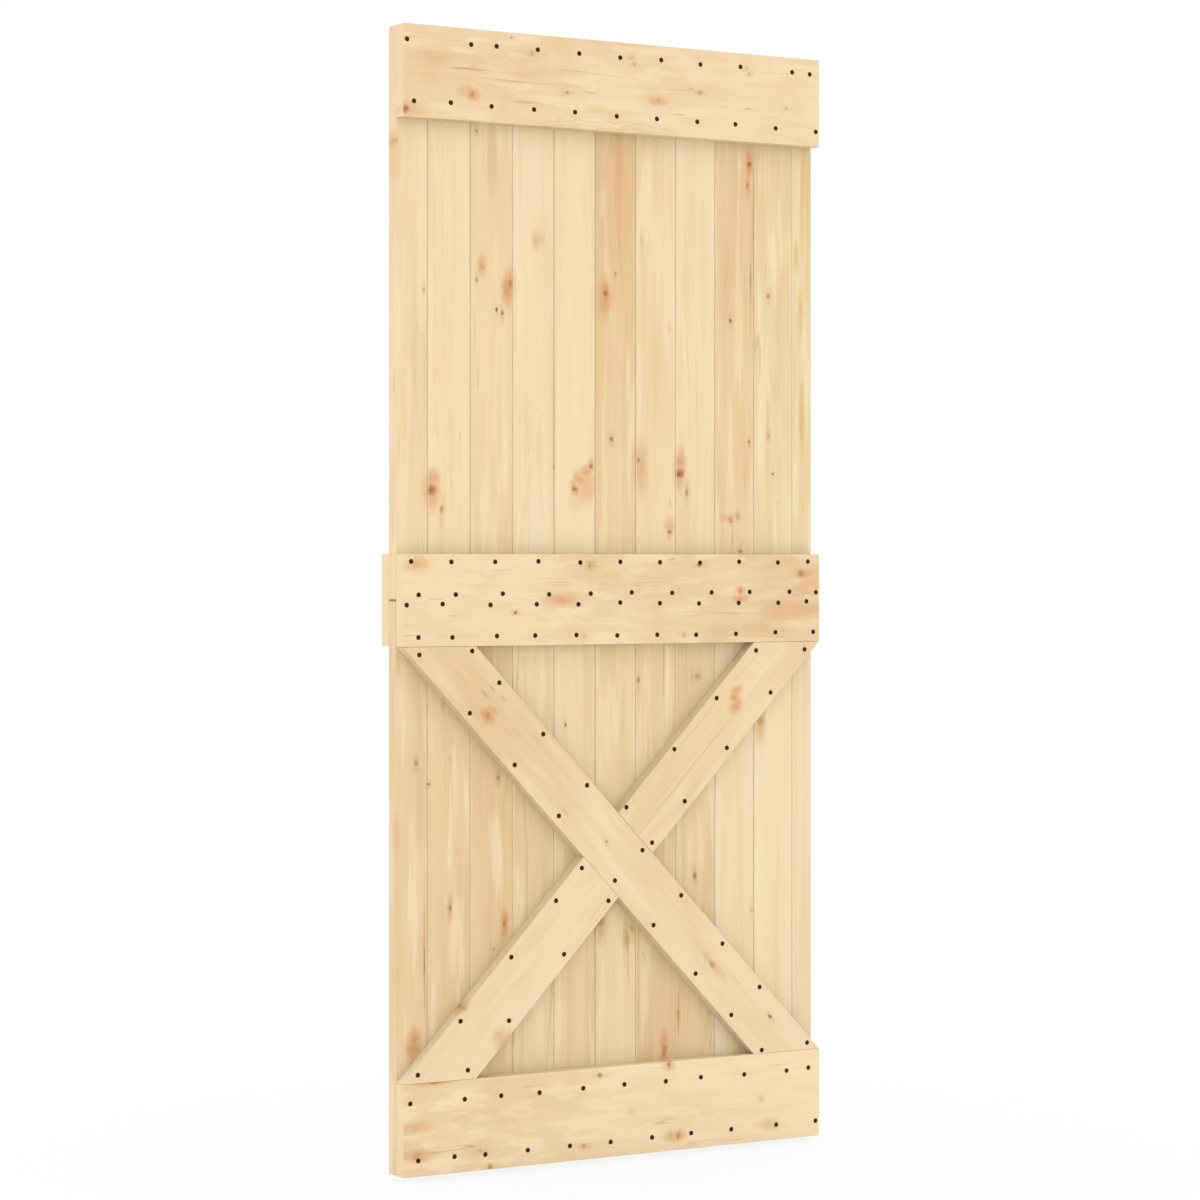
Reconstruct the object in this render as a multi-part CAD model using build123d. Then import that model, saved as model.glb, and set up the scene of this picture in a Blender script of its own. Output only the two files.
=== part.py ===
from build123d import *
import math
import os

# Ledged and braced plank door leaf that hangs from a rail and slides sideways.
# Millimetres. The front faces -Y, up is +Z, and +X is to the right of someone facing the front.
# The origin is on the face that the hangers bolt to: the front of the top rail, at the centre
# of the door's width and of that rail's height.

# The leaf
door_width = 900.0
door_height = 2080.0

# Planks: tongue and groove, in an upper and a lower row that meet end to end behind the middle rail
plank_thickness = 30.0
plank_cover = 88.0  # face that a whole plank shows between two seams
narrowest_edge_plank = 34.0  # least that the two ripped edge planks share out between them, each
plank_shift = 10.0  # the whole planks sit this far to the right of the door's centre
seam_gap = 0.5  # between the shoulders of two planks
seam_bevel = 1.5  # small bevels that make the line between two planks
row_gap = 1.0  # between the ends of the upper and the lower row
tongue_length = 8.0
tongue_thickness = 9.0
tongue_clearance = 0.3  # round a tongue in its groove
tongue_end_bevel = 1.0

# Rails: boards across the door, three on the front and one behind the middle
rail_height = 168.0
rail_thickness = 28.0
back_rail_thickness = 28.0
rail_rounding = 1.0  # of every arris

# Braces: a cross on the front, between the middle rail and the bottom rail
brace_width = 108.0
brace_thickness = 28.0
brace_rounding = 1.0  # of the arrises along a brace; its sawn ends stay sharp
brace_gap = 0.4  # at a brace's sawn ends, where it meets a rail or the other brace

# Where things lie
left_edge = -door_width / 2
right_edge = door_width / 2
door_top = rail_height / 2
door_bottom = door_top - door_height
door_middle = (door_top + door_bottom) / 2
plank_front = rail_thickness
plank_back = plank_front + plank_thickness
brace_panel_top = door_middle - rail_height / 2
brace_panel_bottom = door_bottom + rail_height
brace_panel_height = brace_panel_top - brace_panel_bottom
brace_panel_middle = (brace_panel_top + brace_panel_bottom) / 2
groove_depth = tongue_length - seam_gap + tongue_clearance
groove_width = tongue_thickness + 2 * tongue_clearance


def plank_seams():
    """Return the X of each plank's sides in turn, from the door's left edge to its right."""
    whole_planks = math.floor((door_width - 2 * narrowest_edge_plank) / plank_cover)
    first_seam = plank_shift - whole_planks * plank_cover / 2
    seams = [first_seam + i * plank_cover for i in range(whole_planks + 1)]
    return [left_edge] + seams + [right_edge]


def plank_section(left, right, has_groove, has_tongue):
    """Draw a plank's section as seen from above, with its groove on the left."""
    face_left = left + seam_gap / 2 if has_groove else left
    face_right = right - seam_gap / 2 if has_tongue else right
    middle_x = (face_left + face_right) / 2
    middle_y = plank_front + plank_thickness / 2
    with BuildSketch() as section:
        with Locations((middle_x, middle_y)):
            Rectangle(face_right - face_left, plank_thickness)
        chamfer(section.vertices(), length=seam_bevel)
        if has_tongue:
            with BuildSketch(mode=Mode.PRIVATE) as tongue:
                with Locations((face_right + tongue_length, middle_y)):
                    Rectangle(
                        2 * tongue_length, tongue_thickness, align=(Align.MAX, Align.CENTER)
                    )
                chamfer(tongue.vertices().group_by(Axis.X)[-1], length=tongue_end_bevel)
            add(tongue.sketch)
        if has_groove:
            with Locations((face_left, middle_y)):
                Rectangle(
                    groove_depth, groove_width, align=(Align.MIN, Align.CENTER), mode=Mode.SUBTRACT
                )
    return section.sketch


def planks():
    """Make both rows of planks, numbered from left to right."""
    rows = {
        "upper": (door_middle + row_gap / 2, door_top),
        "lower": (door_bottom, door_middle - row_gap / 2),
    }
    seams = plank_seams()
    last = len(seams) - 2
    made = {}
    for row, (bottom, top) in rows.items():
        for i in range(last + 1):
            section = plank_section(seams[i], seams[i + 1], i > 0, i < last)
            raised = section.moved(Location((0, 0, bottom)))
            made[f"{row}_plank_{i + 1:02d}"] = extrude(raised, amount=top - bottom)
    return made


def board(length, width, thickness):
    """Make a square-edged board along X, its front at Y = 0 and its length and width centred."""
    return Box(length, thickness, width, align=(Align.CENTER, Align.MIN, Align.CENTER))


def rail(front, middle_height, thickness):
    """Make one rail across the whole door."""
    sawn = board(door_width, rail_height, thickness).solid()
    eased = sawn.fillet(rail_rounding, sawn.edges())
    return eased.moved(Location((0, front, middle_height)))


def rails():
    """Make the three front rails and the one behind the middle."""
    return {
        "top_rail": rail(0, 0, rail_thickness),
        "middle_rail_front": rail(0, door_middle, rail_thickness),
        "bottom_rail": rail(0, door_bottom + rail_height / 2, rail_thickness),
        "middle_rail_back": rail(plank_back, door_middle, back_rail_thickness),
    }


def brace_tilt():
    """Return the tilt, in degrees, at which a brace fills its panel from corner to corner."""
    diagonal = math.hypot(door_width, brace_panel_height)
    corner_to_corner = math.atan2(brace_panel_height, door_width)
    return math.degrees(corner_to_corner + math.asin(brace_width / diagonal))


def over_panel(shape, tilt):
    """Tilt a shape made about the origin and carry it to the middle of the braces' panel."""
    place = Location((0, plank_front - brace_thickness, brace_panel_middle))
    return shape.rotate(Axis.Y, tilt).moved(place)


def braces():
    """Make the falling brace in one length, and the rising one in two that butt against it."""
    tilt = brace_tilt()
    plain = board(2 * door_width, brace_width, brace_thickness).solid()
    uncut = plain.fillet(brace_rounding, plain.edges().filter_by(Axis.X))
    through = 4 * brace_thickness
    between_rails = over_panel(Box(door_width, through, brace_panel_height - 2 * brace_gap), 0)
    falling_room = over_panel(Box(2 * door_width, through, brace_width + 2 * brace_gap), tilt)
    falling = over_panel(uncut, tilt) & between_rails
    rising = (over_panel(uncut, -tilt) & between_rails) - falling_room
    lower_half, upper_half = rising.solids().sort_by(Axis.Z)
    return {
        "falling_brace": falling.solid(),
        "rising_brace_lower": lower_half,
        "rising_brace_upper": upper_half,
    }


os.makedirs("parts", exist_ok=True)
for name, shape in {**planks(), **rails(), **braces()}.items():
    export_step(shape, f"parts/{name}.step")
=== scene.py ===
import math
import random

import bmesh
import bpy
from mathutils import Matrix, Vector


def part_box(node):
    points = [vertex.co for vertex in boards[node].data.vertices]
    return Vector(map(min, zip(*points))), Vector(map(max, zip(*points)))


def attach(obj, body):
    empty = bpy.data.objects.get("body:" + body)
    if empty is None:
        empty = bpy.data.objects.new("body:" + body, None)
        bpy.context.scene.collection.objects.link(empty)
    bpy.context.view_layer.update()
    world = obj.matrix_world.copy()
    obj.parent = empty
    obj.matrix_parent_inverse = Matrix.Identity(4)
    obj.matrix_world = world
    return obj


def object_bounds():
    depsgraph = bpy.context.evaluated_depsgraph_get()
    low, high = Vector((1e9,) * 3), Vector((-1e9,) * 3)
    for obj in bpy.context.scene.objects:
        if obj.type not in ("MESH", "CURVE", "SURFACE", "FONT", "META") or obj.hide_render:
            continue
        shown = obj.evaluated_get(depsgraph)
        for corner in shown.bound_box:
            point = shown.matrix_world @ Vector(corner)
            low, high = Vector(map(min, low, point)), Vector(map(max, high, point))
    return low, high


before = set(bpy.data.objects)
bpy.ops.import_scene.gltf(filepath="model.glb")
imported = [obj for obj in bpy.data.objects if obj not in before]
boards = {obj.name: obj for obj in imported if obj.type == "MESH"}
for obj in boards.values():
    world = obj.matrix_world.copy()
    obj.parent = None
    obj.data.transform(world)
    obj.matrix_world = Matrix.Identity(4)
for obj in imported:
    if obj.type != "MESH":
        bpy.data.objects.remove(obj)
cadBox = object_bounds()
print("frame loaded,", len(boards), "boards")

lowCorner = Vector(cadBox[0])
mm = 0.001


def onDoor(x, z):  # millimetres from the leaf's lower left corner, seen from the front
    return Vector((lowCorner.x + x * mm, 0, lowCorner.z + z * mm))


# Camera, level and standing to the left of the leaf

view = {
    "turn": 30.117,  # degrees to the right of straight at the front face
    "fromCorner": (-2702, -5364.5, 1109.7),  # mm from the lower left corner of the front
    "lens": 99.97,
    "sensor": 36,
    "shiftDown": 0.03185,  # of the frame
}

cameraData = bpy.data.cameras.new("camera")
cameraData.lens = view["lens"]
cameraData.sensor_width = view["sensor"]
cameraData.shift_y = -view["shiftDown"]
camera = bpy.data.objects.new("camera", cameraData)
camera.location = lowCorner + Vector(view["fromCorner"]) * mm
camera.rotation_euler = (math.radians(90), 0, math.radians(-view["turn"]))
bpy.context.scene.collection.objects.link(camera)
bpy.context.scene.camera = camera
bpy.context.scene.view_settings.view_transform = "Standard"
print("camera placed")


# Small helpers for node trees

def feed(tree, socket, value):
    if isinstance(value, bpy.types.NodeSocket):
        tree.links.new(value, socket)
    elif value is not None:
        socket.default_value = value


def addNode(tree, kind, inputs=None, **settings):
    node = tree.nodes.new(kind)
    for name, value in settings.items():
        setattr(node, name, value)
    for name, value in (inputs or {}).items():
        feed(tree, node.inputs[name], value)
    return node


def maths(tree, operation, a, b=None, c=None, clamp=False):
    node = addNode(tree, "ShaderNodeMath", {0: a, 1: b, 2: c}, operation=operation, use_clamp=clamp)
    return node.outputs[0]


def fade(tree, value, start, end, low=0.0, high=1.0):  # smooth step from low to high
    inputs = {"Value": value, "From Min": start, "From Max": end, "To Min": low, "To Max": high}
    node = addNode(tree, "ShaderNodeMapRange", inputs, interpolation_type="SMOOTHSTEP")
    return node.outputs["Result"]


def mixColours(tree, amount, a, b, blend="MIX"):
    node = addNode(tree, "ShaderNodeMix", data_type="RGBA", blend_type=blend)
    feed(tree, node.inputs["Factor"], amount)
    colours = [socket for socket in node.inputs if socket.type == "RGBA"]
    feed(tree, colours[0], a)
    feed(tree, colours[1], b)
    return [socket for socket in node.outputs if socket.type == "RGBA"][0]


def stretched(tree, x, y, z, along, across, seed):  # long soft noise that follows the grain
    place = addNode(tree, "ShaderNodeCombineXYZ", {
        "X": maths(tree, "MULTIPLY_ADD", x, along, seed),
        "Y": maths(tree, "MULTIPLY_ADD", y, across, seed),
        "Z": maths(tree, "MULTIPLY", z, across),
    })
    noise = addNode(tree, "ShaderNodeTexNoise", {
        "Vector": place.outputs["Vector"], "Scale": 1.0, "Detail": 2.0, "Roughness": 0.5,
    })
    return noise.outputs["Fac"]


def newGroup(name, inputs, outputs):
    tree = bpy.data.node_groups.new(name, "ShaderNodeTree")
    for label, kind, default in inputs:
        socket = tree.interface.new_socket(label, in_out="INPUT", socket_type="NodeSocket" + kind)
        if default is not None:
            socket.default_value = default
    for label, kind in outputs:
        tree.interface.new_socket(label, in_out="OUTPUT", socket_type="NodeSocket" + kind)
    return tree, tree.nodes.new("NodeGroupInput").outputs, tree.nodes.new("NodeGroupOutput").inputs


def placeGroup(tree, group, **inputs):
    node = tree.nodes.new("ShaderNodeGroup")
    node.node_tree = group
    for name, value in inputs.items():
        feed(tree, node.inputs[name.replace("_", " ")], value)
    return node.outputs


# Light: an even white dome, and one broad weak softbox in front to the left

light = {
    "ambient": 0.99,
    "boxes": [
        {"name": "softboxLeft", "at": (-3.4, -4.4, -0.7), "size": 3.0, "watts": 14},
    ],
    "aim": (0, 0, -0.95),
}
floorLook = {
    "below": 0.010,  # m, between the leaf and the floor
    "radius": 9.0,
    "sides": 64,
    "colour": (0.93, 0.93, 0.92, 1),
    "white": 0.88,  # how far the shadow under the leaf is painted over
    "shadowReach": (0.4, 1.5),  # m from the leaf, between which the shadow fades away
}


def seenDirectly(tree):  # camera, mirror and glass rays see the white background
    path = addNode(tree, "ShaderNodeLightPath").outputs
    seen = maths(tree, "MAXIMUM", path["Is Camera Ray"], path["Is Glossy Ray"])
    return maths(tree, "MAXIMUM", seen, path["Is Transmission Ray"])


def buildWorld():
    world = bpy.data.worlds.new("studio")
    bpy.context.scene.world = world
    world.use_nodes = True
    tree = world.node_tree
    background = tree.nodes["Background"]
    strength = maths(tree, "MAXIMUM", seenDirectly(tree), light["ambient"])
    background.inputs["Color"].default_value = (1, 1, 1, 1)
    feed(tree, background.inputs["Strength"], strength)


def buildSoftboxes():
    for box in light["boxes"]:
        lamp = bpy.data.lights.new(box["name"], "AREA")
        lamp.shape = "SQUARE"
        lamp.size = box["size"]
        lamp.energy = box["watts"]
        lampObject = bpy.data.objects.new(box["name"], lamp)
        lampObject.location = box["at"]
        aim = Vector(light["aim"]) - Vector(box["at"])
        lampObject.rotation_euler = aim.to_track_quat("-Z", "Y").to_euler()
        bpy.context.scene.collection.objects.link(lampObject)


def buildFloor():
    shape = bmesh.new()
    sides, radius = floorLook["sides"], floorLook["radius"]
    bmesh.ops.create_circle(shape, cap_ends=True, segments=sides, radius=radius)
    bmesh.ops.translate(shape, vec=(0, 0, lowCorner.z - floorLook["below"]), verts=shape.verts)
    mesh = bpy.data.meshes.new("floor")
    shape.to_mesh(mesh)
    shape.free()
    floor = bpy.data.objects.new("floor", mesh)
    bpy.context.scene.collection.objects.link(floor)
    material = bpy.data.materials.new("floorWhite")
    material.use_nodes = True
    tree = material.node_tree
    tree.nodes.clear()
    matt = addNode(tree, "ShaderNodeBsdfDiffuse", {"Color": floorLook["colour"]})
    white = addNode(tree, "ShaderNodeEmission", {"Color": (1, 1, 1, 1), "Strength": 1.0})
    place = addNode(tree, "ShaderNodeTexCoord").outputs["Object"]
    level = addNode(tree, "ShaderNodeVectorMath", {0: place, 1: (1, 1, 0)}, operation="MULTIPLY")
    away = addNode(tree, "ShaderNodeVectorMath", {0: level.outputs[0]}, operation="LENGTH")
    near, far = floorLook["shadowReach"]
    whiteness = fade(tree, away.outputs["Value"], near, far, floorLook["white"], 1.0)
    amount = maths(tree, "MULTIPLY", whiteness, seenDirectly(tree))
    blend = addNode(tree, "ShaderNodeMixShader", {0: amount, 1: matt.outputs[0], 2: white.outputs[0]})
    output = addNode(tree, "ShaderNodeOutputMaterial")
    tree.links.new(blend.outputs[0], output.inputs["Surface"])
    mesh.materials.append(material)


buildWorld()
buildSoftboxes()
buildFloor()
print("light and floor set")


# Pine: growth rings round a heart line that wanders along the board, pushed aside by knots

# A knot. Pairs say where a part of it starts and where it is full, in the knot's own radii
knotLook = {
    "body": (1.3, 0.5),
    "bodyDepth": 0.85,
    "pith": (0.6, 0.1),
    "pithDepth": 0.35,
    "halo": (2.3, 0.5),
    "haloWidth": 0.42,  # for its length along the board
    "dull": (1.6, 1.2),
    "dullRadius": (0.0060, 0.0035),  # m, radii between which small knots turn dull
    "parting": 2.2,  # how much further the grain parts along the board than across it
    "partingRoom": 0.6,
}


def buildKnotGroup():
    inputs = [
        ("Vector", "Vector", None), ("Core", "Float", 0.0), ("Halo", "Float", 0.0),
        ("Dull", "Float", 0.0), ("Along", "Float", 0.0), ("Across", "Float", 0.0),
        ("Radius", "Float", 0.008), ("Stretch", "Float", 1.3), ("Depth", "Float", 0.8),
        ("Blush", "Float", 0.6), ("Ragged", "Vector", None),
    ]
    outputs = [("Vector", "Vector"), ("Core", "Float"), ("Halo", "Float"), ("Dull", "Float")]
    tree, given, result = newGroup("pineKnot", inputs, outputs)
    part = addNode(tree, "ShaderNodeSeparateXYZ", {0: given["Vector"]}).outputs
    acrossGap = maths(tree, "SUBTRACT", part["Y"], given["Across"])
    alongGap = maths(tree, "SUBTRACT", part["X"], given["Along"])
    alongGap = maths(tree, "DIVIDE", alongGap, given["Stretch"])
    place = addNode(tree, "ShaderNodeCombineXYZ", {
        "X": maths(tree, "DIVIDE", alongGap, given["Radius"]),
        "Y": maths(tree, "DIVIDE", acrossGap, given["Radius"]),
    }).outputs["Vector"]
    stirred = addNode(tree, "ShaderNodeVectorMath", {0: place, 1: given["Ragged"]}, operation="ADD")
    spot = addNode(tree, "ShaderNodeSeparateXYZ", {0: stirred.outputs[0]}).outputs
    acrossSquare = maths(tree, "MULTIPLY", spot["Y"], spot["Y"])
    distance = maths(tree, "SQRT", maths(tree, "MULTIPLY_ADD", spot["X"], spot["X"], acrossSquare))
    longSpot = maths(tree, "MULTIPLY", spot["X"], knotLook["haloWidth"])
    tall = maths(tree, "SQRT", maths(tree, "MULTIPLY_ADD", longSpot, longSpot, acrossSquare))
    body = fade(tree, distance, *knotLook["body"], 0.0, knotLook["bodyDepth"])
    pith = fade(tree, distance, *knotLook["pith"], 0.0, knotLook["pithDepth"])
    core = maths(tree, "MULTIPLY", maths(tree, "ADD", body, pith), given["Depth"], clamp=True)
    halo = maths(tree, "MULTIPLY", fade(tree, tall, *knotLook["halo"]), given["Blush"])
    small = fade(tree, given["Radius"], *knotLook["dullRadius"])
    dull = maths(tree, "MULTIPLY", fade(tree, distance, *knotLook["dull"]), small)
    # grain lines part round the knot, further along the board than across it
    longGap = maths(tree, "DIVIDE", alongGap, knotLook["parting"])
    gapSquare = maths(tree, "MULTIPLY", acrossGap, acrossGap)
    longSquare = maths(tree, "MULTIPLY_ADD", longGap, longGap, gapSquare)
    radiusSquare = maths(tree, "MULTIPLY", given["Radius"], given["Radius"])
    room = maths(tree, "MULTIPLY_ADD", radiusSquare, knotLook["partingRoom"], longSquare)
    push = maths(tree, "MULTIPLY", acrossGap, maths(tree, "DIVIDE", radiusSquare, room))
    bent = addNode(tree, "ShaderNodeCombineXYZ", {
        "X": part["X"], "Y": maths(tree, "SUBTRACT", part["Y"], push), "Z": part["Z"],
    })
    feed(tree, result["Vector"], bent.outputs["Vector"])
    feed(tree, result["Core"], maths(tree, "MAXIMUM", given["Core"], core))
    feed(tree, result["Halo"], maths(tree, "MAXIMUM", given["Halo"], halo))
    feed(tree, result["Dull"], maths(tree, "MAXIMUM", given["Dull"], dull))
    return tree


# The grain's noises: how many patches to a metre along and across the board, and an offset
grainNoises = {
    "ripple": (5.0, 38.0, 0.0),  # of the rings
    "shown": (1.8, 16.0, 11.0),  # where rings show
    "pink": (2.2, 26.0, 23.0),
    "yellow": (2.6, 34.0, 97.0),
    "pale": (3.6, 46.0, 131.0),
    "narrow": (2.0, 80.0, 47.0),
    "cloud": (2.4, 11.0, 31.0),
    "broken": (4.0, 40.0, 71.0),  # where pencil lines show
    "pencil": (0.9, 30.0, 61.0),
    "fibre": (28.0, 820.0, 5.0),
}
# Between which values of their noise the patches come on
patchReach = {
    "shown": (0.40, 0.66), "pink": (0.42, 0.66), "yellow": (0.44, 0.66), "pale": (0.50, 0.66),
    "narrow": (0.48, 0.68), "cloud": (0.30, 0.70), "broken": (0.50, 0.66),
}
# The heart line's wandering: waves to a metre, and an offset
heartWaves = {"side": (1.7, 3.1), "deep": (1.3, 7.7)}
pineLook = {
    "ripple": 0.012,  # m, how far the rings bend in and out
    "bunchWaves": 60.0,  # to a metre outwards, in which rings bunch up and spread
    "bunch": 5.0,  # how many rings they do that by
    "growth": (0.30, 0.86),  # part of a year in which its ring darkens
    "stop": (0.88, 1.0),  # and in which it ends
    "rareness": 4.0,  # more leaves fewer dark years
    "faintest": 0.08,  # how dark the ring of the faintest year is, for the darkest
    "leastShown": 0.05,
    "cloud": 0.36,  # how far the soft clouds change the tone
    "pencilWidth": 0.009,  # in values of the lines' noise
    "fibre": 0.06,  # how far the fibres change the brightness
    "sawnReach": (-0.0009, -0.0003),  # m past a board's end
    "sawn": 0.75,  # how far that end takes on the sawn colour
    "ringHeight": 0.5,
    "fibreHeight": 0.35,
    "knotHeight": 0.6,
    "roughness": 0.52,
    "fibreRoughness": 0.10,
    "ringRoughness": -0.08,
}
grainColours = {
    "pink": (0.975, 0.935, 0.900, 1),
    "yellow": (0.985, 0.955, 0.80, 1),
    "narrow": (0.95, 0.91, 0.85, 1),
    "lateWood": (0.76, 0.60, 0.44, 1),
    "pencil": (0.60, 0.46, 0.34, 1),
    "knot": (0.35, 0.13, 0.033, 1),
    "dullKnot": (0.26, 0.150, 0.022, 1),
    "sawnEnd": (0.935, 0.710, 0.435, 1),
    # painted highlight for the bevels along the seams
    "bevelHighlightColour": (1.0, 0.81, 0.56, 1),
}


def buildPineGroup():
    inputs = [
        ("Vector", "Vector", None), ("Core", "Float", 0.0), ("Halo", "Float", 0.0),
        ("Dull", "Float", 0.0), ("Seed", "Float", 0.0), ("Heart Side", "Float", 0.05),
        ("Heart Depth", "Float", 0.06), ("Ring Width", "Float", 0.004), ("Sway", "Float", 0.03),
        ("Figure", "Float", 0.5), ("Tone", "Float", 0.3), ("Lean", "Float", 0.0),
        ("Bands", "Float", 0.5), ("Pencil", "Float", 0.4), ("Run", "Float", 1.0),
        ("Half", "Float", 10.0), ("Worn", "Float", 0.0),
        ("Pale", "Color", (0.940, 0.738, 0.490, 1)), ("Tan", "Color", (0.820, 0.560, 0.315, 1)),
        ("Halo Tint", "Color", (0.85, 0.63, 0.455, 1)),
    ]
    outputs = [("Color", "Color"), ("Height", "Float"), ("Roughness", "Float")]
    tree, given, result = newGroup("pineGrain", inputs, outputs)
    part = addNode(tree, "ShaderNodeSeparateXYZ", {0: given["Vector"]}).outputs
    x, y, z = part["X"], part["Y"], part["Z"]
    seed = given["Seed"]
    closer = maths(tree, "MULTIPLY", x, given["Run"])  # how short the patches and lines are

    def wander(way):
        waves, offset = heartWaves[way]
        spot = maths(tree, "MULTIPLY_ADD", x, waves, maths(tree, "ADD", seed, offset))
        waving = {"W": spot, "Scale": 1.0, "Detail": 1.0}
        noise = addNode(tree, "ShaderNodeTexNoise", waving, noise_dimensions="1D").outputs["Fac"]
        return maths(tree, "MULTIPLY", maths(tree, "SUBTRACT", noise, 0.5), given["Sway"])

    def grainNoise(kind):
        along, across, offset = grainNoises[kind]
        return stretched(tree, closer, y, z, along, across, maths(tree, "ADD", seed, offset))

    def patches(kind, least=0.0):
        return fade(tree, grainNoise(kind), *patchReach[kind], least, 1.0)

    def tinted(colour, amount, kind):
        return mixColours(tree, amount, colour, grainColours[kind], "MULTIPLY")

    side = maths(tree, "ADD", maths(tree, "SUBTRACT", y, given["Heart Side"]), wander("side"))
    deep = maths(tree, "ADD", maths(tree, "SUBTRACT", z, given["Heart Depth"]), wander("deep"))
    square = maths(tree, "MULTIPLY_ADD", side, side, maths(tree, "MULTIPLY", deep, deep))
    ripple = maths(tree, "SUBTRACT", grainNoise("ripple"), 0.5)
    distance = maths(tree, "SQRT", square)
    distance = maths(tree, "MULTIPLY_ADD", ripple, pineLook["ripple"], distance)
    bunched = addNode(tree, "ShaderNodeTexNoise", {
        "W": maths(tree, "MULTIPLY_ADD", distance, pineLook["bunchWaves"], seed),
        "Scale": 1.0, "Detail": 2.0,
    }, noise_dimensions="1D").outputs["Fac"]
    count = maths(tree, "DIVIDE", distance, given["Ring Width"])
    count = maths(tree, "MULTIPLY_ADD", bunched, pineLook["bunch"], count)
    year = maths(tree, "FRACT", count)
    # each ring darkens slowly and ends sharply, and some years show far more than others
    growth = fade(tree, year, *pineLook["growth"])
    stop = fade(tree, year, *pineLook["stop"], 1.0, 0.0)
    good = addNode(tree, "ShaderNodeTexWhiteNoise", {
        "W": maths(tree, "ADD", maths(tree, "FLOOR", count), seed),
    }, noise_dimensions="1D").outputs["Value"]
    faintest = pineLook["faintest"]
    rare = maths(tree, "POWER", good, pineLook["rareness"])
    yearStrength = maths(tree, "MULTIPLY_ADD", rare, 1 - faintest, faintest)
    late = maths(tree, "MULTIPLY", maths(tree, "MULTIPLY", growth, stop), yearStrength)
    shown = patches("shown", pineLook["leastShown"])
    lateShown = maths(tree, "MULTIPLY", maths(tree, "MULTIPLY", late, shown), given["Figure"])
    # long soft patches of pinker, of yellower and of paler wood, and narrow ones that are darker
    pink, yellow = patches("pink"), patches("yellow")
    pale, narrow = patches("pale"), patches("narrow")
    cloud = patches("cloud")
    # thin dark pencil lines, where a noise crosses its middle, broken along their length
    along, across, offset = grainNoises["pencil"]
    slopes = stretched(tree, x, y, z, along, across, maths(tree, "ADD", seed, offset))
    vein = maths(tree, "ABSOLUTE", maths(tree, "SUBTRACT", slopes, 0.5))
    line = fade(tree, vein, pineLook["pencilWidth"], 0.0)
    shownLine = maths(tree, "MULTIPLY", line, patches("broken"))
    pencil = maths(tree, "MULTIPLY", shownLine, given["Pencil"])
    tone = maths(tree, "MULTIPLY_ADD", x, given["Lean"], given["Tone"])
    cloud = maths(tree, "SUBTRACT", cloud, 0.5)
    tone = maths(tree, "MULTIPLY_ADD", cloud, pineLook["cloud"], tone)
    tone = maths(tree, "SUBTRACT", tone, maths(tree, "MULTIPLY", pale, given["Bands"]))
    colour = mixColours(tree, tone, given["Pale"], given["Tan"])
    colour = tinted(colour, maths(tree, "MULTIPLY", pink, given["Bands"]), "pink")
    colour = tinted(colour, maths(tree, "MULTIPLY", yellow, given["Bands"]), "yellow")
    colour = tinted(colour, maths(tree, "MULTIPLY", narrow, given["Bands"]), "narrow")
    colour = tinted(colour, lateShown, "lateWood")
    colour = tinted(colour, pencil, "pencil")
    fibre = grainNoise("fibre")
    shade = maths(tree, "MULTIPLY_ADD", fibre, pineLook["fibre"], 1 - pineLook["fibre"] / 2)
    shades = {"Red": shade, "Green": shade, "Blue": shade}
    grey = addNode(tree, "ShaderNodeCombineColor", shades).outputs["Color"]
    colour = mixColours(tree, 1.0, colour, grey, "MULTIPLY")
    # the knots' own colours, over the grain
    colour = mixColours(tree, given["Halo"], colour, given["Halo Tint"], "MULTIPLY")
    heart = mixColours(tree, given["Dull"], grainColours["knot"], grainColours["dullKnot"])
    colour = mixColours(tree, given["Core"], colour, heart)
    # sawn ends show paler
    ending = maths(tree, "SUBTRACT", maths(tree, "ABSOLUTE", x), given["Half"])
    sawn = maths(tree, "MULTIPLY", fade(tree, ending, *pineLook["sawnReach"]), pineLook["sawn"])
    colour = mixColours(tree, sawn, colour, grainColours["sawnEnd"])
    # the bevels along a plank's seams are painted paler, a painted highlight that offsets the shade in
    # the seams
    colour = mixColours(tree, given["Worn"], colour, grainColours["bevelHighlightColour"])
    feed(tree, result["Color"], colour)
    height = maths(tree, "MULTIPLY", fibre, pineLook["fibreHeight"])
    height = maths(tree, "MULTIPLY_ADD", lateShown, pineLook["ringHeight"], height)
    height = maths(tree, "MULTIPLY_ADD", given["Core"], pineLook["knotHeight"], height)
    feed(tree, result["Height"], height)
    rough = maths(tree, "MULTIPLY_ADD", fibre, pineLook["fibreRoughness"], pineLook["roughness"])
    rough = maths(tree, "MULTIPLY_ADD", lateShown, pineLook["ringRoughness"], rough)
    feed(tree, result["Roughness"], rough)
    return tree


knotGroup = buildKnotGroup()
pineGroup = buildPineGroup()

# How tan each board is, from 0 for the palest to 1, at its bottom or left end and at its other end
tones = {
    "upper": [
        (0.15, 0.3), (0.1, -0.1), (0.38, 0.3), (-0.1, 0.18), (-0.25, -0.1), (0.6, 1.1), (0.15, 0.42),
        (0.2, -0.12), (0.28, 0.95), (0.15, 1.0), (0.37, 0.95),
    ],
    "lower": [
        0.62, 0.57, 0.67, 0.45, (0.6, 0.2), (0.1, 0.45), (0.97, 0.35), 0.55, (0.0, -0.25),
        (-0.4, -0.3), 0.0,
    ],
    "top_rail": (0.65, 0.05), "middle_rail_front": (0.15, 0.75), "middle_rail_back": (0.25, 0.4),
    "bottom_rail": (0.62, -0.18), "falling_brace": (0.8, -0.1), "rising_brace_upper": 0.38,
    "rising_brace_lower": 0.1,
}
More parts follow.
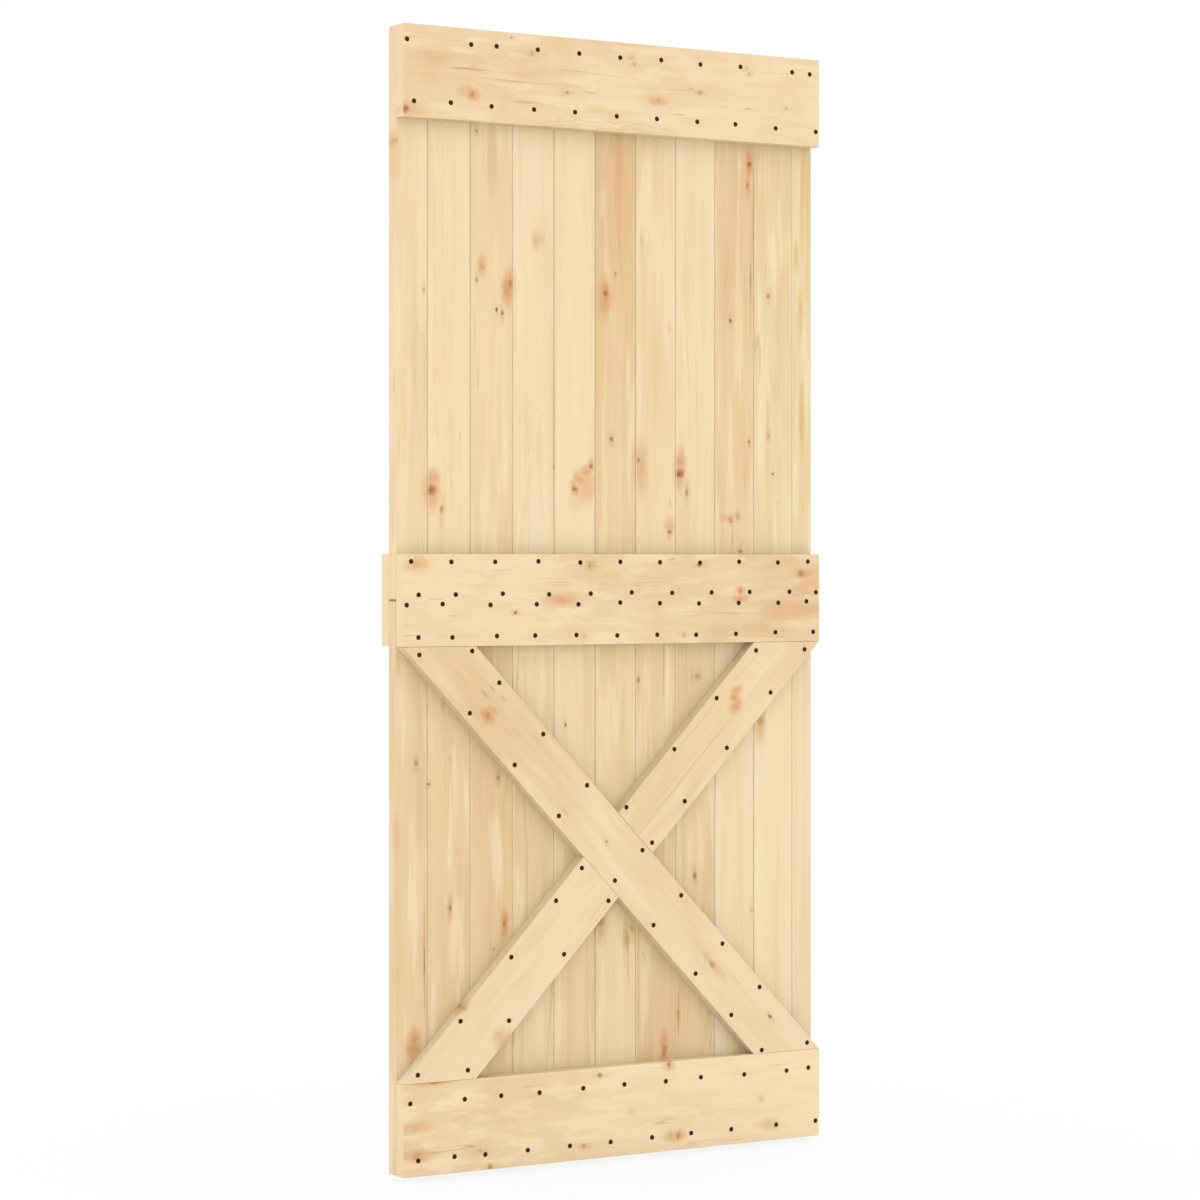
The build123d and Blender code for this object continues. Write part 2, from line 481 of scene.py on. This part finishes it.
# Boards whose palest or most tan wood, or whose knots' halos, aren't of the ordinary colour. The paler
# wood of the bottom rail and of lower planks 9 and 10 is painted light, lifting the bottom of the leaf
# where the floor shades it
woodsAndPaintedLight = {
    # painted light: paler wood that lifts the bottom rail where the floor shades the leaf
    "bottom_rail": {"Pale": (1.0, 0.79, 0.53, 1)},
    "upper_plank_04": {"Pale": (0.938, 0.748, 0.500, 1)},
    "upper_plank_05": {"Pale": (0.940, 0.758, 0.502, 1)},
    "upper_plank_10": {"Pale": (0.940, 0.770, 0.500, 1), "Tan": (0.820, 0.580, 0.305, 1)},
    "upper_plank_11": {
        "Pale": (0.940, 0.765, 0.498, 1), "Tan": (0.820, 0.580, 0.300, 1),
        "Halo_Tint": (0.89, 0.81, 0.58, 1),
    },
    # painted light: paler wood that lifts these lower planks where the floor shades the leaf
    "lower_plank_09": {"Pale": (0.940, 0.752, 0.508, 1)},
    "lower_plank_10": {"Pale": (0.958, 0.768, 0.512, 1)},
}
# How strongly a plank's figure shows, where that isn't the ordinary amount
figures = {
    "upper": {3: 0.35, 4: 0.3, 5: 0.25, 6: 0.55, 7: 0.35, 8: 0.35, 9: 1.0, 10: 0.9, 11: 0.7},
    "lower": {1: 0.7, 2: 0.85, 3: 0.6, 5: 0.7, 6: 0.25, 7: 0.8, 8: 0.7, 10: 0.15, 11: 0.6},
}
# Boards sawn near the heart, whose rings arch over the face: how far to the side and how deep the
# heart lies, and how far it strays, in mm
hearts = {
    "upper_plank_09": (8, -36, 150), "upper_plank_10": (-6, -32, 130), "lower_plank_02": (6, -36, 130),
    "lower_plank_06": (-4, -38, 110), "upper_plank_03": (10, -40, 110),
}
# How strong the painted highlight on the bevels of each seam is, from the left
seamHighlights = {
    "upper": [0.45, 0.35, 0.65, 0.1, 0.25, 0.35, 0.5, 0.4, 0.55, 1.0],
    "lower": [0.45, 0.5, 0.55, 0.7, 0.2, 0.65, 0.75, 0.6, 0.45, 1.0],
}

# Knots, branch marks, and dark lines of painted shade where boards meet, by row of planks or by board:
# x, z and radius in mm, how dark, how strong its blush, and how long for its width
knots = {
    "upper": [
        # painted shade: a dark line on the planks' ends where the upper and lower rows meet
        (0, 1041.2, 1.3, 0.95, 0.0, 1.0), (900, 1041.2, 1.3, 0.95, 0.0, 1.0),
        (56, 1604, 3, 0.35, 0.3, 1.2), (0, 1872, 4, 0.2, 0.5, 1.2), (0, 1836, 6, 0.0, 0.3, 2.0),
        (176, 1651, 6, 0.3, 0.7, 1.0), (166, 1627, 3.5, 0.55, 0.3, 1.4),
        (236, 1622, 6.5, 0.63, 1.0, 1.3), (230, 1611, 8, 0.15, 1.0, 1.1),
        (220, 1567, 3.2, 0.75, 0.5, 1.8), (209, 1574, 2.7, 1.0, 0.3, 1.4),
        (165, 1898, 3, 0.5, 0.3, 1.3), (195, 1850, 9, 0.0, 0.4, 2.2),
        (288, 1701, 6, 0.15, 0.45, 0.7), (293, 1708, 8, 0.08, 0.5, 0.5),
        (326, 1725, 1.6, 0.65, 0.4, 20.0), (327, 1285, 2.6, 0.4, 0.3, 2.2),
        (327, 1360, 2.5, 0.0, 0.35, 12.0), (438, 1612, 5, 0.7, 1.0, 1.3),
        (436, 1603, 9, 0.0, 0.6, 1.2), (457, 1650, 2.6, 0.5, 0.2, 1.4),
        (517, 1712, 3, 0.15, 0.2, 2.0), (467, 1845, 6, 0.0, 0.25, 6.0),
        (757, 1873, 4.8, 0.9, 0.9, 1.4), (754, 1833, 3.6, 0.45, 0.5, 2.2),
        (767, 1750, 2.2, 0.4, 0.7, 16.0), (761, 1650, 1.4, 0.5, 0.5, 24.0),
        (740, 1775, 3, 0.0, 0.4, 6.0), (715, 1571, 3.7, 1.0, 0.3, 1.2),
        (801, 1621, 4.6, 0.6, 0.4, 1.0), (578, 1551, 3.5, 0.1, 0.3, 1.4),
        (865, 1700, 5, 0.05, 0.95, 1.8), (875, 1588, 4.5, 0.0, 1.0, 3.6),
        (878, 1392, 4, 0.0, 1.0, 5.0), (72, 1240, 11.5, 0.74, 0.85, 0.85),
        (75, 1263, 7, 0.12, 0.8, 0.7), (89, 1205, 4.3, 0.55, 0.3, 2.0),
        (451, 1340, 4.2, 0.68, 0.5, 1.1), (406, 1288, 4.5, 0.72, 0.9, 1.0),
        (397, 1277, 9, 0.15, 0.9, 0.45), (386, 1263, 10, 0.12, 0.9, 0.5),
        (375, 1246, 5.8, 0.65, 1.0, 0.8), (392, 1246, 14, 0.0, 0.7, 0.6),
        (376, 1222, 8, 0.0, 0.35, 0.6), (509, 1301, 4.2, 0.6, 0.6, 1.3),
        (515, 1288, 9, 0.08, 0.65, 1.6), (600, 1277, 9.5, 0.86, 0.6, 1.0),
        (601, 1300, 6.5, 0.22, 0.7, 1.2), (613, 1241, 3.8, 0.55, 0.4, 2.0),
        (578, 1167, 4.6, 0.6, 0.9, 0.9), (579, 1177, 6.5, 0.05, 0.6, 0.7),
        (801, 1352, 4.0, 0.3, 0.4, 0.9), (757, 1340, 2.6, 0.72, 0.5, 1.2),
        (811, 1279, 2.9, 0.85, 0.1, 1.1), (700, 1194, 6, 0.0, 0.4, 0.4),
        (713, 1192, 6, 0.35, 0.8, 0.4), (729, 1197, 4.5, 0.25, 0.7, 0.6),
        (716, 1186, 2.4, 0.6, 0.3, 1.2), (719, 1158, 1.0, 0.2, 0.2, 22.0),
        (737, 1130, 4, 0.6, 0.4, 1.2), (690, 1262, 4, 0.0, 0.15, 3.2),
        (806, 1463, 2.0, 0.12, 0.1, 6.0), (815, 1432, 1.6, 0.11, 0.1, 9.0),
        (742, 1462, 1.6, 0.16, 0.1, 14.0), (822, 1224, 3.4, 0.1, 0.1, 0.7),
        (795, 1660, 1.6, 0.14, 0.1, 18.0), (745, 1268, 1.5, 0.08, 0.2, 16.0),
    ],
    "lower": [
        # painted shade: a dark line on the planks' ends where the upper and lower rows meet
        (0, 1038.8, 1.3, 0.95, 0.0, 1.0), (900, 1038.8, 1.3, 0.95, 0.0, 1.0),
        (352, 806, 2.5, 0.9, 0.2, 1.8), (509, 887, 3.6, 0.62, 0.3, 1.6),
        (641, 892, 6, 0.35, 0.6, 0.5), (631, 892, 4, 0.1, 0.45, 1.2),
        (782, 803, 8, 0.35, 0.75, 1.3), (41, 744, 3.8, 0.5, 0.55, 1.4),
        (65, 706, 4.2, 1.0, 0.6, 0.6), (210, 713, 4, 0.55, 0.5, 1.3), (110, 478, 4, 0.6, 0.6, 1.6),
        (223, 444, 5, 0.52, 1.0, 1.5), (37, 243, 8, 0.2, 0.9, 0.9), (36, 226, 9, 0.18, 0.85, 0.9),
        (427, 436, 8, 0.38, 0.85, 1.4), (495, 420, 6, 0.32, 0.5, 1.4),
        (634, 512, 3.8, 0.68, 0.6, 1.5), (763, 441, 4.5, 0.26, 0.15, 1.2),
        (597, 253, 3.5, 0.45, 0.5, 3.5), (567, 186, 6, 0.4, 0.7, 1.8),
        (57, 379, 1.5, 0.6, 0.8, 20.0), (201, 398, 2, 0.6, 0.2, 1.2), (486, 401, 5, 0.1, 0.6, 1.2),
        (0, 616, 5, 0.0, 0.2, 2.0), (97, 849, 4, 0.1, 0.5, 1.2), (805, 232, 2.4, 0.7, 0.2, 1.2),
    ],
    "top_rail": [
        (141, 1961, 7, 0.5, 0.8, 0.6), (128, 1966, 6, 0.0, 0.5, 0.8),
        (340, 1978, 3, 0.55, 0.3, 1.2), (536, 1976, 6, 0.25, 0.8, 1.0),
        (629, 1998, 4, 0.4, 0.4, 1.2), (824, 1981, 3, 0.32, 0.3, 1.2),
        (265, 2044, 4.5, 0.32, 0.35, 0.9), (478, 2051, 4, 0.2, 0.35, 0.9),
        (484, 2041, 4.5, 0.32, 0.35, 0.7), (733, 2051, 4, 0.25, 0.35, 0.9),
        (740, 2042, 4.5, 0.32, 0.35, 0.7), (6, 1926, 8, 0.75, 0.6, 1.2),
        (235, 1990, 1.6, 0.22, 0.2, 36.0), (132, 2004, 1.6, 0.4, 0.2, 26.0),
        (60, 2020, 9, 0.0, 0.3, 2.0), (200, 2020, 9, 0.0, 0.3, 2.5),
        (222, 2066, 3.2, 0.5, 0.2, 1.1), (737, 1976, 2.0, 0.3, 0.2, 5.0),
    ],
    "middle_rail_front": [
        (27, 1106, 8, 0.15, 0.6, 1.0), (388, 1103, 6, 0.3, 0.6, 0.7), (627, 1103, 5, 0.7, 0.5, 1.2),
        (857, 1087, 7, 0.6, 0.7, 1.0), (326, 1040, 7, 0.15, 0.7, 1.4),
        (719, 1056, 6, 0.42, 0.9, 0.5), (720, 1042, 5, 0.15, 0.9, 1.0),
        (230, 1018, 3.5, 0.85, 0.5, 1.0), (376, 973, 6, 0.2, 0.3, 0.8),
        (593, 973, 5, 0.3, 0.5, 0.8), (840, 1020, 12, 0.0, 0.4, 1.6),
        (880, 1060, 10, 0.0, 0.5, 1.0), (690, 1015, 1.2, 0.15, 0.3, 25.0),
    ],
    "bottom_rail": [
        (566, 26, 8, 0.1, 0.8, 0.6), (581, 27, 6.5, 0.5, 0.9, 0.8), (783, 31, 8, 0.1, 0.4, 1.0),
        (30, 38, 8, 0.3, 0.7, 1.0), (26, 88, 7, 0.1, 0.5, 1.4), (128, 94, 9, 0.05, 0.35, 0.8),
        (177, 6, 6, 0.6, 0.5, 1.0), (560, 160, 6.5, 0.65, 0.8, 0.6), (409, 153, 4, 0.6, 0.4, 1.4),
        (478, 80, 5, 0.12, 0.3, 0.5), (766, 80, 5.5, 0.16, 0.35, 0.5),
        (157, 37, 3.5, 0.25, 0.2, 1.5), (375, 26, 4, 0.38, 0.5, 1.2), (65, 164, 2.4, 0.5, 0.8, 5.0),
        # painted shade: a dark line along the rail's top arris, where it meets the planks
        (80, 168.2, 1.6, 0.85, 0.0, 42.0), (826, 168.2, 1.6, 0.85, 0.0, 36.0),
    ],
    "falling_brace": [
        (172, 828, 7, 0.25, 0.9, 0.7), (180, 836, 6, 0.0, 0.7, 0.6), (424, 588, 3, 0.55, 0.3, 1.2),
        (657, 345, 6, 0.45, 0.6, 1.8), (640, 368, 5, 0.0, 0.15, 3.0),
        (786, 237, 3.5, 0.85, 0.5, 1.2), (165, 868, 3, 0.2, 0.5, 1.2),
        (180, 878, 1.0, 0.6, 0.1, 8.0), (203, 858, 1.0, 0.6, 0.1, 8.0),
    ],
    "rising_brace_upper": [
        (706, 851, 7, 0.3, 0.9, 0.5), (708, 836, 8, 0.1, 0.9, 0.6), (712, 862, 5, 0.08, 0.8, 0.8),
        (602, 713, 1.5, 0.13, 0.25, 70.0),
    ],
    "rising_brace_lower": [
        (126, 298, 4, 0.35, 0.7, 1.2), (197, 243, 8, 0.08, 0.65, 0.6),
        (206, 234, 9, 0.0, 0.85, 0.7),
    ],
}


def braceCut():  # length of a brace's level sawn end, read from the falling brace's top corners
    mesh = boards["falling_brace"].data
    top = max(v.co.z for v in mesh.vertices)
    level = [v.co.x for v in mesh.vertices if v.co.z > top - 0.5 * mm]
    return max(level) - min(level)


def boardAxes(name):  # along the grain, across the face, through the thickness
    if "plank" in name:
        return Vector((0, 0, 1)), Vector((1, 0, 0)), Vector((0, 1, 0))
    if "rail" in name:
        return Vector((1, 0, 0)), Vector((0, 0, 1)), Vector((0, -1, 0))
    low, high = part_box("falling_brace")
    rise = 1 if name.startswith("rising") else -1
    run = Vector((high.x - low.x - braceCut(), 0, rise * (high.z - low.z))).normalized()
    return run, Vector((-run.z, 0, run.x)), Vector((0, -1, 0))


def boardKnots(name, low, high):
    row = name.split("_")[0] if "plank" in name else name
    found = []
    for x, z, radius, depth, blush, stretch in knots.get(row, []):
        spot = onDoor(x, z)
        reach = radius * mm
        if low.x - reach < spot.x < high.x + reach and low.z - reach < spot.z < high.z + reach:
            found.append((spot, reach, depth, blush, stretch))
    return found


grain = {
    "plank": {"Figure": 0.5, "Bands": 0.55, "Pencil": 0.35, "Run": 1.2},
    "rail": {"Figure": 0.3, "Bands": 0.42, "Pencil": 0.5, "Run": 3.2},
    "brace": {"Figure": 0.2, "Bands": 0.3, "Pencil": 0.5, "Run": 1.8},
}
# The ranges that a board's heart line and rings are drawn from at random, in metres
rings = {
    "side": (0.0, 0.12),  # of the heart, to one side or the other
    "depth": (0.03, 0.09),
    "width": (0.0045, 0.008),
    "sway": (0.02, 0.05),
}
boardLook = {
    "bounced": (0.46, 0.42, 0.29, 1),  # light off a board onto another is darker, so creases stay deep
    "stir": 0.8,  # how uneven a knot's outline is, for its radius
    "stirs": 100.0,  # spots to a metre
    "highlightFromLeft": (2.4, 1.4),  # mm from a seam, where the strip of painted highlight starts and where it is full
    "highlightFromRight": (2.8, 1.8),
    "noEnds": 10.0,  # m, out of reach, for braces, whose ends are cut at an angle
    "bump": 0.0002,  # m
    "bumpStrength": 0.6,
    "specular": 0.3,
}


def boardValues(name):  # a board's tones and its own values for the grain
    kind = [word for word in grain if word in name][0]
    values = {**grain[kind], **woodsAndPaintedLight.get(name, {})}
    if kind != "plank":
        return tones[name], values
    row, _, number = name.split("_")
    values["Figure"] = figures[row].get(int(number), values["Figure"])
    return tones[row][int(number) - 1], values


def raggedness(tree, place, seed):  # what stirs the knots' coordinates, for uneven outlines
    step = {0: place, 1: (0.1 * seed, 0, 0)}
    moved = addNode(tree, "ShaderNodeVectorMath", step, operation="ADD").outputs["Vector"]
    noise = addNode(tree, "ShaderNodeTexNoise", {
        "Vector": moved, "Scale": boardLook["stirs"], "Detail": 3.0, "Roughness": 0.6,
    })
    stir = boardLook["stir"]
    return addNode(tree, "ShaderNodeVectorMath", {
        0: noise.outputs["Color"], 1: (2 * stir, 2 * stir, 0), 2: (-stir, -stir, 0),
    }, operation="MULTIPLY_ADD").outputs["Vector"]


# a strip of painted highlight beside a seam
def highlightStrip(tree, distance, reach, strength):
    start, full = reach
    return fade(tree, distance, start * mm, full * mm, 0.0, strength)


def paintedBevelHighlights(tree, name, place, middle):  # painted highlight next to each seam of a plank, over its own face
    if "plank" not in name:
        return 0.0
    row, _, number = name.split("_")
    strengths = [0.0] + seamHighlights[row] + [0.0]
    across = addNode(tree, "ShaderNodeSeparateXYZ", {0: place}).outputs["Y"]
    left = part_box(name)[0].x - middle.x
    after = f"{row}_plank_{int(number) + 1:02d}"
    right = (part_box(after)[0].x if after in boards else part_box(name)[1].x) - middle.x
    fromLeft = maths(tree, "SUBTRACT", across, left)
    nearLeft = highlightStrip(tree, fromLeft, boardLook["highlightFromLeft"], strengths[int(number) - 1])
    fromRight = maths(tree, "SUBTRACT", right, across)
    nearRight = highlightStrip(tree, fromRight, boardLook["highlightFromRight"], strengths[int(number)])
    return maths(tree, "MAXIMUM", nearLeft, nearRight)


def pineMaterial(name, seed):
    rng = random.Random(seed)
    tone, values = boardValues(name)
    low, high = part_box(name)
    middle = (low + high) / 2
    along, across, through = boardAxes(name)
    turn = Matrix((along, across, through)).transposed()
    material = bpy.data.materials.new("pine_" + name)
    material.use_nodes = True
    tree = material.node_tree
    shader = tree.nodes["Principled BSDF"]
    place = addNode(tree, "ShaderNodeTexCoord").outputs["Object"]
    mapping = addNode(tree, "ShaderNodeMapping", {
        "Vector": place, "Location": middle, "Rotation": turn.to_euler(),
    }, vector_type="TEXTURE")
    passed = {"Vector": mapping.outputs["Vector"]}
    ragged = raggedness(tree, mapping.outputs["Vector"], seed)
    for spot, reach, depth, blush, stretch in boardKnots(name, low, high):
        gap = spot - Vector((middle.x, 0, middle.z))
        out = placeGroup(
            tree, knotGroup, **passed, Along=gap.dot(along), Across=gap.dot(across), Radius=reach,
            Stretch=stretch, Depth=depth, Blush=blush, Ragged=ragged,
        )
        passed = {label: out[label] for label in ("Vector", "Core", "Halo", "Dull")}
    firstTone, lastTone = tone if isinstance(tone, tuple) else (tone, tone)
    length = (high - low).dot(Vector([abs(c) for c in along]))
    ringSeed = rng.uniform(0, 400)
    side = rng.choice((-1, 1)) * rng.uniform(*rings["side"])
    deep = rng.choice((-1, 1)) * rng.uniform(*rings["depth"])
    ringWidth = rng.uniform(*rings["width"])
    sway = rng.uniform(*rings["sway"])
    if name in hearts:
        side, deep, sway = [distance * mm for distance in hearts[name]]
    out = placeGroup(
        tree, pineGroup, **passed, **values, Seed=ringSeed, Heart_Side=side, Heart_Depth=deep,
        Ring_Width=ringWidth, Sway=sway,
        Tone=(firstTone + lastTone) / 2, Lean=(lastTone - firstTone) / length,
        Half=boardLook["noEnds"] if "brace" in name else length / 2,
        Worn=paintedBevelHighlights(tree, name, mapping.outputs["Vector"], middle),
    )
    bump = addNode(tree, "ShaderNodeBump", {
        "Height": out["Height"], "Distance": boardLook["bump"],
        "Strength": boardLook["bumpStrength"],
    })
    bounce = addNode(tree, "ShaderNodeLightPath").outputs["Is Diffuse Ray"]
    colour = mixColours(tree, bounce, out["Color"], boardLook["bounced"])
    feed(tree, shader.inputs["Base Color"], colour)
    feed(tree, shader.inputs["Roughness"], out["Roughness"])
    feed(tree, shader.inputs["Normal"], bump.outputs["Normal"])
    shader.inputs["Specular IOR Level"].default_value = boardLook["specular"]
    return material


def finishBoards():
    firstSeed = 41
    for seed, (name, board) in enumerate(sorted(boards.items()), firstSeed):
        board.data.materials.clear()
        board.data.materials.append(pineMaterial(name, seed))


finishBoards()
print("boards finished in pine")


# Screws: black, countersunk, with a cross recess, one row of them a mesh

screw = {
    "radius": 4.8,  # mm, as are the sizes below
    "proud": 0.25,  # of the head over the wood
    "rim": 0.35,  # rounding of the head's edge
    "sunk": 2.2,  # how far the modelled head goes into the wood
    "sunkWidth": 0.55,  # how wide it is down there, for its width at the top
    "sides": 12,
    "recess": 3.0,  # width over the cross
    "recessDepth": 1.6,
    "recessTaper": 0.7,
    "stray": (2, 1.5),  # mm, how far a rail's screws are out of line across and up, at random
    "black": (0.055, 0.022, 0.002, 1),
    "rubbed": (0.105, 0.054, 0.012, 1),
    "mottle": 900.0,  # patches to a metre
    "rubbedReach": (0.40, 0.72),  # values of the mottle between which the black is rubbed off
    "roughReach": (0.3, 0.7),  # and between which it turns rougher
    "roughness": (0.50, 0.68),
    "specular": 0.04,
}

# A rail's rows: distance from its top or bottom edge, distance from each plank's left side, and the
# screws that stand elsewhere on their plank, counted from the left
railRows = {
    "top_rail": [
        {"fromTop": 27.5, "inset": 39, "moved": {1: 9, 2: 74, 10: 69, 11: 20}},
        {"fromBottom": 30, "inset": 29, "moved": {1: 24, 2: 34, 10: 33, 11: 35}},
    ],
    "middle_rail_front": [
        {"fromTop": 15, "inset": 38, "moved": {1: 15, 2: 34, 11: 18}},
        {"fromTop": 73, "inset": 62, "moved": {1: 33, 2: 44, 3: 52, 11: 35}},
        {"fromBottom": 76, "inset": 36, "moved": {1: 9, 2: 18, 3: 26, 11: 16}},
        {"fromBottom": 17, "inset": 30, "moved": {2: 35, 3: 41}},
    ],
    "bottom_rail": [
        {"fromTop": 36, "inset": 47, "moved": {1: 14, 2: 63, 4: 40, 8: 39, 10: 58, 11: 17}},
        {"fromBottom": 29, "inset": 17, "moved": {1: 29, 2: 39, 10: 31, 11: 35}},
    ],
    "middle_rail_back": [
        {"fromTop": 15, "inset": 38, "moved": {1: 15, 11: 22}},
        {"fromTop": 73, "inset": 60, "moved": {1: 33, 11: 30}},
        {"fromBottom": 76, "inset": 38, "moved": {1: 15, 11: 18}},
        {"fromBottom": 17, "inset": 30, "moved": {1: 33, 11: 30}},
    ],
}
# A brace's rows: the side they run along, mm from that edge at the row's left and right ends, and x of
# each screw in mm from the leaf's left side
braceRows = {
    "falling_brace": [
        {"side": 1, "inset": (12, 11), "at": (141, 197, 289, 382, 502, 587, 679, 763, 872)},
        {"side": -1, "inset": (14, 17), "at": (33, 136, 229, 322, 442, 526, 619, 699, 768)},
    ],
    "rising_brace_upper": [
        {"side": 1, "inset": (5, 14), "at": (467, 572, 666, 755)},
        {"side": -1, "inset": (15, 14), "at": (523, 595, 689, 788, 866)},
    ],
    "rising_brace_lower": [
        {"side": 1, "inset": (11, 11), "at": (30, 117, 222, 316, 371)},
        {"side": -1, "inset": (24, 12), "at": (132, 217, 333, 428)},
    ],
}


def screwHead():  # its top at z = 0, facing +Z, in millimetres
    shape = bmesh.new()
    half = screw["recess"] / 2
    bmesh.ops.create_grid(shape, x_segments=3, y_segments=3, size=half)
    outer = [edge for edge in shape.edges if edge.is_boundary]
    middles = [(face, face.calc_center_median()) for face in shape.faces]
    cross = [face for face, at in middles if min(abs(at.x), abs(at.y)) < 0.1]
    sides, rimStart = screw["sides"], screw["radius"] - screw["rim"]
    top = bmesh.ops.create_circle(shape, segments=sides, radius=rimStart)["verts"]
    halfSide = Matrix.Rotation(math.radians(180 / sides), 3, "Z")
    bmesh.ops.rotate(shape, cent=(0, 0, 0), matrix=halfSide, verts=top)
    rimEdges = [edge for edge in shape.edges if edge.verts[0] in top and edge.verts[1] in top]
    bmesh.ops.bridge_loops(shape, edges=outer + rimEdges)
    sunkRadius = screw["radius"] * screw["sunkWidth"]
    for width, drop in ((screw["radius"], screw["rim"]), (sunkRadius, screw["sunk"])):
        made = bmesh.ops.extrude_edge_only(shape, edges=rimEdges)["geom"]
        verts = [item for item in made if isinstance(item, bmesh.types.BMVert)]
        rimEdges = [item for item in made if isinstance(item, bmesh.types.BMEdge)]
        for vert in verts:
            level = Vector((vert.co.x, vert.co.y, 0)).normalized() * width
            vert.co = Vector((level.x, level.y, -drop))
    bmesh.ops.contextual_create(shape, geom=rimEdges)
    walls = bmesh.ops.extrude_face_region(shape, geom=cross)["geom"]
    floorVerts = [item for item in walls if isinstance(item, bmesh.types.BMVert)]
    bmesh.ops.delete(shape, geom=cross, context="FACES")
    bmesh.ops.translate(shape, vec=(0, 0, -screw["recessDepth"]), verts=floorVerts)
    taper = screw["recessTaper"]
    bmesh.ops.scale(shape, vec=(taper, taper, 1), verts=floorVerts)
    bmesh.ops.recalc_face_normals(shape, faces=shape.faces)
    mesh = bpy.data.meshes.new("screwHead")
    shape.to_mesh(mesh)
    shape.free()
    return mesh


def blackSteel():
    material = bpy.data.materials.new("blackScrew")
    material.use_nodes = True
    tree = material.node_tree
    shader = tree.nodes["Principled BSDF"]
    place = addNode(tree, "ShaderNodeTexCoord").outputs["Object"]
    mottle = addNode(tree, "ShaderNodeTexNoise", {
        "Vector": place, "Scale": screw["mottle"], "Detail": 3.0,
    }).outputs["Fac"]
    rubbed = fade(tree, mottle, *screw["rubbedReach"])
    colour = mixColours(tree, rubbed, screw["black"], screw["rubbed"])
    feed(tree, shader.inputs["Base Color"], colour)
    rough = fade(tree, mottle, *screw["roughReach"], *screw["roughness"])
    feed(tree, shader.inputs["Roughness"], rough)
    shader.inputs["Specular IOR Level"].default_value = screw["specular"]
    return material


def driveScrews(name, spots, facing, head, material, rng):
    row = bmesh.new()
    for spot in spots:
        one = bmesh.new()
        one.from_mesh(head)
        turn = Matrix.Rotation(rng.uniform(0, math.pi / 2), 4, "Z")
        face = Matrix.Rotation(math.radians(90) * facing, 4, "X")
        driven = Matrix.Translation(spot) @ face @ Matrix.Scale(mm, 4) @ turn
        bmesh.ops.transform(one, matrix=driven, verts=one.verts)
        copy = bpy.data.meshes.new("oneScrew")
        one.to_mesh(copy)
        one.free()
        row.from_mesh(copy)
        bpy.data.meshes.remove(copy)
    mesh = bpy.data.meshes.new(name)
    row.to_mesh(mesh)
    row.free()
    mesh.materials.append(material)
    piece = bpy.data.objects.new(name, mesh)
    bpy.context.scene.collection.objects.link(piece)
    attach(piece, "root")


def railSpots(name, row, rng):
    low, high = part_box(name)
    z = high.z - row["fromTop"] * mm if "fromTop" in row else low.z + row["fromBottom"] * mm
    strayAcross, strayUp = screw["stray"]
    spots = []
    for number in range(1, len(tones["upper"]) + 1):
        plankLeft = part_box(f"upper_plank_{number:02d}")[0].x
        inset = row["moved"].get(number, row["inset"]) + rng.uniform(-strayAcross, strayAcross)
        drift = rng.uniform(-strayUp, strayUp)
        spots.append(Vector((plankLeft + inset * mm, 0, z + drift * mm)))
    return spots


def braceSpots(name, row):
    along, across, _ = boardAxes(name)
    low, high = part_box("falling_brace")
    middle = (low + high) / 2
    first, last = row["inset"]
    spots = []
    for x in row["at"]:
        share = (x - row["at"][0]) / (row["at"][-1] - row["at"][0])
        inset = (first + (last - first) * share) * mm
        offset = across * row["side"] * (braceWidth() / 2 - inset)
        travel = (lowCorner.x + x * mm - middle.x - offset.x) / along.x
        spots.append(Vector((middle.x, 0, middle.z)) + along * travel + offset)
    return spots


def braceWidth():
    along, _, _ = boardAxes("falling_brace")
    return braceCut() * abs(along.z)


def placeScrews():
    rng = random.Random(7)
    head = screwHead()
    steel = blackSteel()
    front = lowCorner.y - screw["proud"] * mm
    for name, rows in railRows.items():
        back = name.endswith("back")
        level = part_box(name)[1].y + screw["proud"] * mm if back else front
        for count, row in enumerate(rows, 1):
            spots = railSpots(name, row, rng)
            for spot in spots:
                spot.y = level
            driveScrews(f"screws_{name}_{count}", spots, -1 if back else 1, head, steel, rng)
    for name, rows in braceRows.items():
        for count, row in enumerate(rows, 1):
            spots = braceSpots(name, row)
            for spot in spots:
                spot.y = front
            driveScrews(f"screws_{name}_{count}", spots, 1, head, steel, rng)
    bpy.data.meshes.remove(head)


placeScrews()
print("screws driven")
